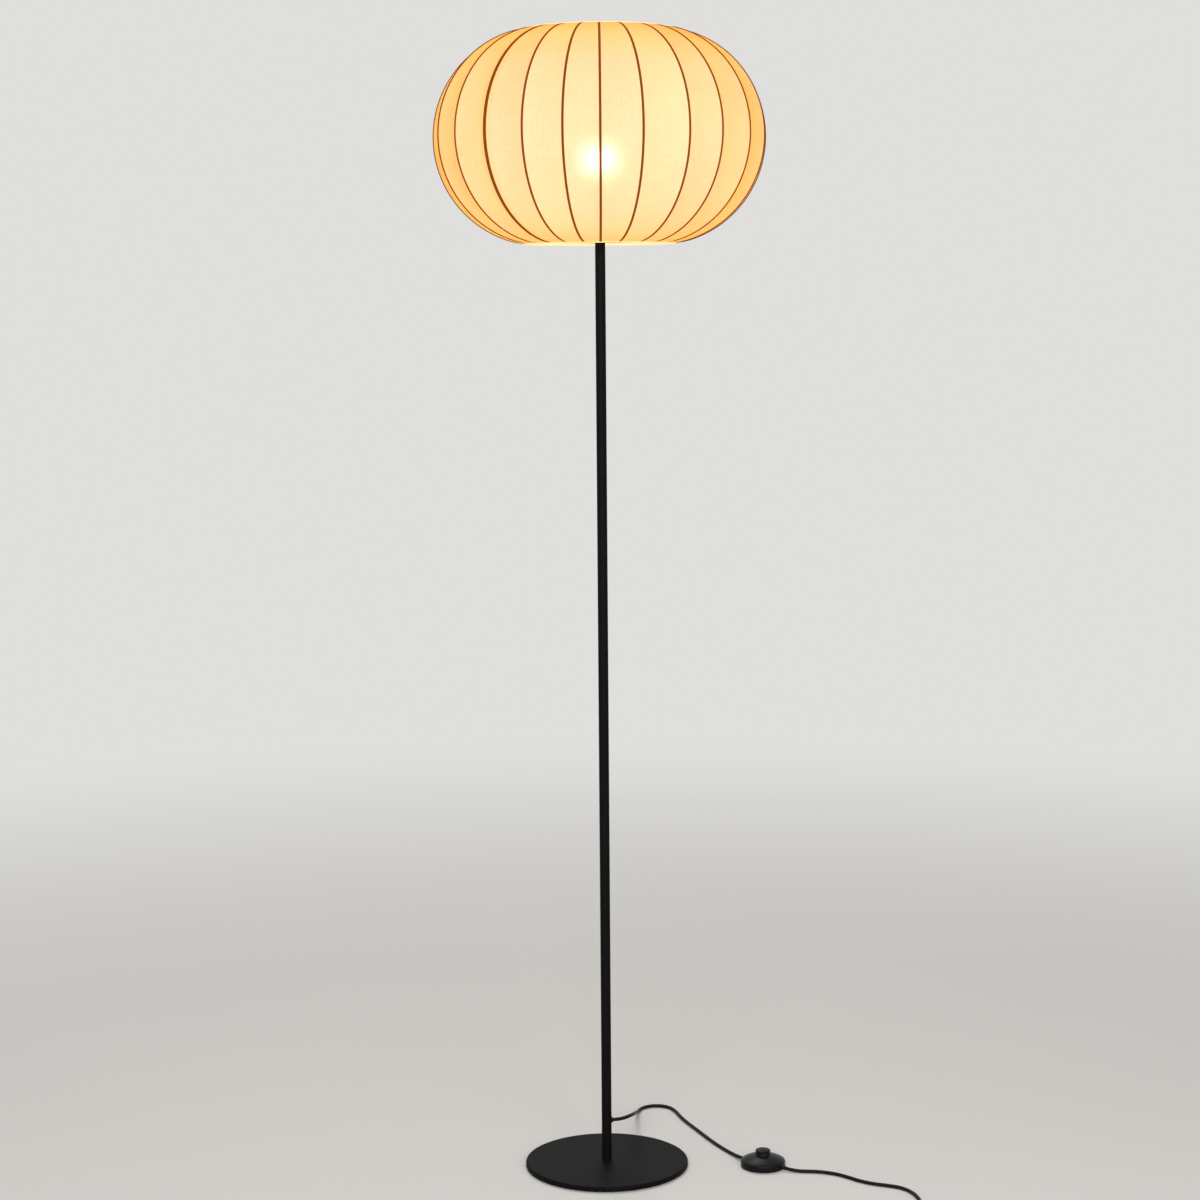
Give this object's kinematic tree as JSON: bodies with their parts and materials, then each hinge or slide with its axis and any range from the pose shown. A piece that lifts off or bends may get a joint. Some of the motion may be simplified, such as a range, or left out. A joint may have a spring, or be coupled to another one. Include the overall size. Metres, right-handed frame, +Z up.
{
  "type": "floor lamp",
  "caption": "Slim pole floor lamp with a round base and a wide ribbed lantern shade in pleated cream fabric, with a cord, a round foot switch and a two-pin plug.",
  "frame": {"origin": "on the floor, in the middle of the base, on the pole's axis", "axes": "+Z up along the pole; -Y towards the viewer of the picture; +X to their right, where the cord leaves the pole"},
  "size_m": [0.6528, 0.538, 1.5834],
  "materials": {
    "black_steel": "fine matt powder coat",
    "zinc_steel": "zinc plated",
    "brown_wire": "satin dark brown",
    "carrier_wire": "satin",
    "fabric": "linen-like weave",
    "tape": "woven tape",
    "black_plastic": "satin",
    "switch_shell": "half gloss",
    "cord": "smooth, half matt",
    "foam": "fine closed-cell foam",
    "ceramic": "unglazed white",
    "white_plastic": "satin white",
    "opal": "opal, lit from within",
    "nickel": "nickel plated",
    "brass": "plain",
    "copper": "bare copper"
  },
  "bodies": {
    "lamp": {"base_pad": "foam", "base_plate": "black_steel", "base_washer": "zinc_steel", "base_bolt": "zinc_steel", "foot_insert": "zinc_steel", "pole_lower": "black_steel", "pole_middle": "black_steel", "pole_upper": "black_steel", "pole_studs": "zinc_steel", "pole_cord": "cord", "cord_bush": "black_plastic", "top_insert": "zinc_steel", "holder_nipple": "zinc_steel", "lock_nut": "zinc_steel", "holder_cap": "black_plastic", "holder_cores": "copper", "holder_insulator": "ceramic", "holder_contacts": "brass", "holder_sleeve": "black_plastic", "clamp_ring_lower": "black_plastic", "clamp_ring_upper": "black_plastic", "bulb_contact": "nickel", "bulb_cap": "nickel", "bulb_body": "white_plastic", "bulb_board": "white_plastic", "bulb_globe": "opal", "shade_carrier": "carrier_wire", "bottom_hoop": "brown_wire", "top_hoop": "brown_wire", "shade_ribs": "brown_wire", "cover_front": "fabric", "cover_back": "fabric", "bottom_hem": "tape", "top_hem": "tape", "lamp_lead": "cord", "wall_lead": "cord", "cord_coil": "cord", "coil_tie": "black_plastic", "plug_lead": "cord", "switch_feet": "foam", "switch_base": "black_plastic", "switch_cover": "switch_shell", "switch_screws": "zinc_steel", "switch_mechanism": "white_plastic", "switch_terminals": "brass", "switch_cores": "copper", "switch_spring": "zinc_steel", "plug_body": "black_plastic", "plug_insulators": "black_plastic", "plug_pins": "nickel"},
    "button": {"switch_button": "switch_shell"}
  },
  "joints": [
    {"name": "button_press", "type": "slide", "parent": "lamp", "child": "button", "axis": [0, 0, -1], "range_m": [0, 0.0035], "stiffness_N_per_m": 1500, "springref_m": -0.002, "deforming": ["switch_spring"]}
  ]
}
